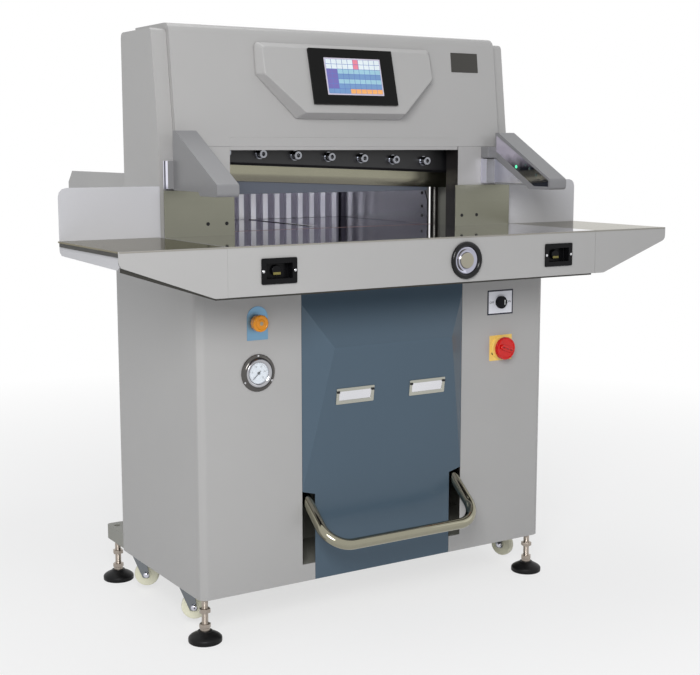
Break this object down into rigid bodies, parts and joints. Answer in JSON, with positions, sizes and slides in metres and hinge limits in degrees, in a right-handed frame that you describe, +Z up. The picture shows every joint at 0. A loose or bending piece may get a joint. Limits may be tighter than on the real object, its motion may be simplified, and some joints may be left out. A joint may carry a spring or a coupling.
{
  "type": "hydraulic paper cutter",
  "caption": "Floor-standing hydraulic guillotine for paper stacks with side tables, light-curtain arms, touch screen, backgauge, clamp, slanted knife and foot bar.",
  "frame": {"origin": "on the floor under the middle of the machine's bounding box", "axes": "+X to the operator's right, +Y to the back of the machine, +Z up"},
  "size_m": [1.424, 1.1914, 1.3407],
  "materials": {
    "painted_light": "semi-gloss",
    "painted_frame": "matt paint",
    "painted_sheet": "semi-gloss",
    "painted_blue": "semi-gloss",
    "polished_steel": "ground",
    "bright_steel": "polished",
    "dark_steel": "oiled",
    "black_steel": "satin",
    "aluminium": "machined",
    "chrome": "polished",
    "zinc": "zinc-plated",
    "red_plastic": "satin",
    "switch_red": "gloss",
    "orange_plastic": "gloss",
    "black_plastic": "satin",
    "black_rubber": "matt",
    "cream_nylon": "satin"
  },
  "bodies": {
    "frame": {"main_frame": "painted_frame", "table_bed": "polished_steel", "cutting_stick": "red_plastic", "table_apron": "painted_sheet", "rear_table_cover": "painted_light", "clamp_cylinder": "dark_steel", "knife_cylinder": "dark_steel", "hydraulic_unit": "painted_frame", "front_cover": "painted_light", "rear_cover": "painted_light", "lower_rear_panel": "painted_light", "console_bezel": "painted_light", "touch_screen": "black_plastic", "centre_panel": "painted_blue", "pressure_gauge": "chrome", "side_table_left": "painted_sheet", "side_fence_left": "painted_sheet", "guide_plate_left": "polished_steel", "rear_guide_wall_left": "polished_steel", "end_cover_left": "painted_light", "light_arm_left": "painted_light", "left_cabinet": "painted_light", "pull_handle_left": "bright_steel", "button_box_left": "black_plastic", "side_table_right": "painted_sheet", "side_fence_right": "painted_sheet", "guide_plate_right": "polished_steel", "rear_guide_wall_right": "polished_steel", "end_cover_right": "painted_light", "light_arm_right": "painted_light", "right_cabinet": "painted_light", "pull_handle_right": "bright_steel", "button_box_right": "black_plastic"},
    "knife_block": {"knife_slide_block": "bright_steel"},
    "knife": {"knife_beam": "black_steel", "knife_blade": "bright_steel"},
    "clamp": {"clamp_beam": "painted_blue", "clamp_pull_yoke": "bright_steel"},
    "gauge": {"backgauge": "aluminium"},
    "gauge_screw": {"lead_screw": "bright_steel"},
    "foot_bar": {"foot_bar": "chrome"},
    "cut_button_left": {"cut_button_left": "black_plastic"},
    "cut_button_right": {"cut_button_right": "black_plastic"},
    "handwheel": {"handwheel": "black_plastic"},
    "pressure_knob": {"pressure_knob": "orange_plastic"},
    "gauge_needle": {"gauge_needle": "black_plastic"},
    "selector": {"selector_knob": "black_plastic"},
    "main_switch": {"main_switch_knob": "switch_red"},
    "foot_front_left": {"levelling_foot_front_left": "black_rubber"},
    "fork_front_left": {"caster_fork_front_left": "zinc"},
    "wheel_front_left": {"caster_wheel_front_left": "cream_nylon"},
    "foot_front_right": {"levelling_foot_front_right": "black_rubber"},
    "fork_front_right": {"caster_fork_front_right": "zinc"},
    "wheel_front_right": {"caster_wheel_front_right": "cream_nylon"},
    "foot_rear_left": {"levelling_foot_rear_left": "black_rubber"},
    "fork_rear_left": {"caster_fork_rear_left": "zinc"},
    "wheel_rear_left": {"caster_wheel_rear_left": "cream_nylon"},
    "foot_rear_right": {"levelling_foot_rear_right": "black_rubber"},
    "fork_rear_right": {"caster_fork_rear_right": "zinc"},
    "wheel_rear_right": {"caster_wheel_rear_right": "cream_nylon"}
  },
  "joints": [
    {"name": "knife_slide", "type": "slide", "parent": "frame", "child": "knife_block", "axis": [0.2924, 0, -0.9563], "range_m": [0, 0.094]},
    {"name": "knife_swing", "type": "hinge", "parent": "knife_block", "child": "knife", "pos_m": [0.392, -0.19165, 1.1], "axis": [0, -1, 0], "range_deg": [0, 2.3]},
    {"name": "clamp_slide", "type": "slide", "parent": "frame", "child": "clamp", "axis": [0, 0, 1], "range_m": [-0.085, 0]},
    {"name": "gauge_slide", "type": "slide", "parent": "frame", "child": "gauge", "axis": [0, 1, 0], "range_m": [-0.345, 0.25]},
    {"name": "screw_turn", "type": "hinge", "parent": "frame", "child": "gauge_screw", "pos_m": [0, 0.57065, 0.83], "axis": [0, -1, 0], "range_deg": [-12430, 9010]},
    {"name": "foot_bar_turn", "type": "hinge", "parent": "frame", "child": "foot_bar", "pos_m": [0, -0.29635, 0.361], "axis": [1, 0, 0], "range_deg": [0, 10], "stiffness_Nm_per_rad": 25, "springref_deg": -25.78},
    {"name": "handwheel_turn", "type": "hinge", "parent": "frame", "child": "handwheel", "pos_m": [0.102, -0.56765, 0.827], "axis": [0, 1, 0], "continuous": true},
    {"name": "pressure_knob_turn", "type": "hinge", "parent": "frame", "child": "pressure_knob", "pos_m": [-0.3305, -0.40025, 0.7], "axis": [0, 1, 0], "range_deg": [-135, 135]},
    {"name": "needle_turn", "type": "hinge", "parent": "frame", "child": "gauge_needle", "pos_m": [-0.3305, -0.40025, 0.5905], "axis": [0, 1, 0], "range_deg": [0, 270]},
    {"name": "selector_turn", "type": "hinge", "parent": "frame", "child": "selector", "pos_m": [0.335, -0.40025, 0.7025], "axis": [0, 1, 0], "range_deg": [-45, 45]},
    {"name": "main_switch_turn", "type": "hinge", "parent": "frame", "child": "main_switch", "pos_m": [0.3385, -0.40025, 0.591], "axis": [0, 1, 0], "range_deg": [0, 90]},
    {"name": "cut_button_left_press", "type": "slide", "parent": "frame", "child": "cut_button_left", "axis": [0, 1, 0], "range_m": [0, 0.004], "stiffness_N_per_m": 400, "springref_m": -0.002},
    {"name": "cut_button_right_press", "type": "slide", "parent": "frame", "child": "cut_button_right", "axis": [0, 1, 0], "range_m": [0, 0.004], "stiffness_N_per_m": 400, "springref_m": -0.002},
    {"name": "foot_front_left_turn", "type": "hinge", "parent": "frame", "child": "foot_front_left", "pos_m": [-0.454, -0.37435, 0], "axis": [0, 0, 1], "continuous": true},
    {"name": "caster_front_left_swivel", "type": "hinge", "parent": "frame", "child": "fork_front_left", "pos_m": [-0.447, -0.26035, 0.1], "axis": [0, 0, 1], "continuous": true},
    {"name": "caster_front_left_roll", "type": "hinge", "parent": "fork_front_left", "child": "wheel_front_left", "pos_m": [-0.43004, -0.27095, 0.046], "axis": [0.5299, 0.848, 0], "continuous": true},
    {"name": "foot_front_right_turn", "type": "hinge", "parent": "frame", "child": "foot_front_right", "pos_m": [0.454, -0.37435, 0], "axis": [0, 0, 1], "continuous": true},
    {"name": "caster_front_right_swivel", "type": "hinge", "parent": "frame", "child": "fork_front_right", "pos_m": [0.447, -0.26035, 0.1], "axis": [0, 0, 1], "continuous": true},
    {"name": "caster_front_right_roll", "type": "hinge", "parent": "fork_front_right", "child": "wheel_front_right", "pos_m": [0.45318, -0.27937, 0.046], "axis": [0.9511, 0.309, 0], "continuous": true},
    {"name": "foot_rear_left_turn", "type": "hinge", "parent": "frame", "child": "foot_rear_left", "pos_m": [-0.454, 0.12065, 0], "axis": [0, 0, 1], "continuous": true},
    {"name": "caster_rear_left_swivel", "type": "hinge", "parent": "frame", "child": "fork_rear_left", "pos_m": [-0.447, 0.00665, 0.1], "axis": [0, 0, 1], "continuous": true},
    {"name": "caster_rear_left_roll", "type": "hinge", "parent": "fork_rear_left", "child": "wheel_rear_left", "pos_m": [-0.43004, -0.00395, 0.046], "axis": [0.5299, 0.848, 0], "continuous": true},
    {"name": "foot_rear_right_turn", "type": "hinge", "parent": "frame", "child": "foot_rear_right", "pos_m": [0.454, 0.12065, 0], "axis": [0, 0, 1], "continuous": true},
    {"name": "caster_rear_right_swivel", "type": "hinge", "parent": "frame", "child": "fork_rear_right", "pos_m": [0.447, 0.00665, 0.1], "axis": [0, 0, 1], "continuous": true},
    {"name": "caster_rear_right_roll", "type": "hinge", "parent": "fork_rear_right", "child": "wheel_rear_right", "pos_m": [0.45318, -0.01237, 0.046], "axis": [0.9511, 0.309, 0], "continuous": true}
  ],
  "couplings": [
    {"joint": "knife_swing", "follows": "knife_slide", "rad_per_m": 0.427},
    {"joint": "screw_turn", "follows": "gauge_slide", "rad_per_m": 628.32}
  ]
}
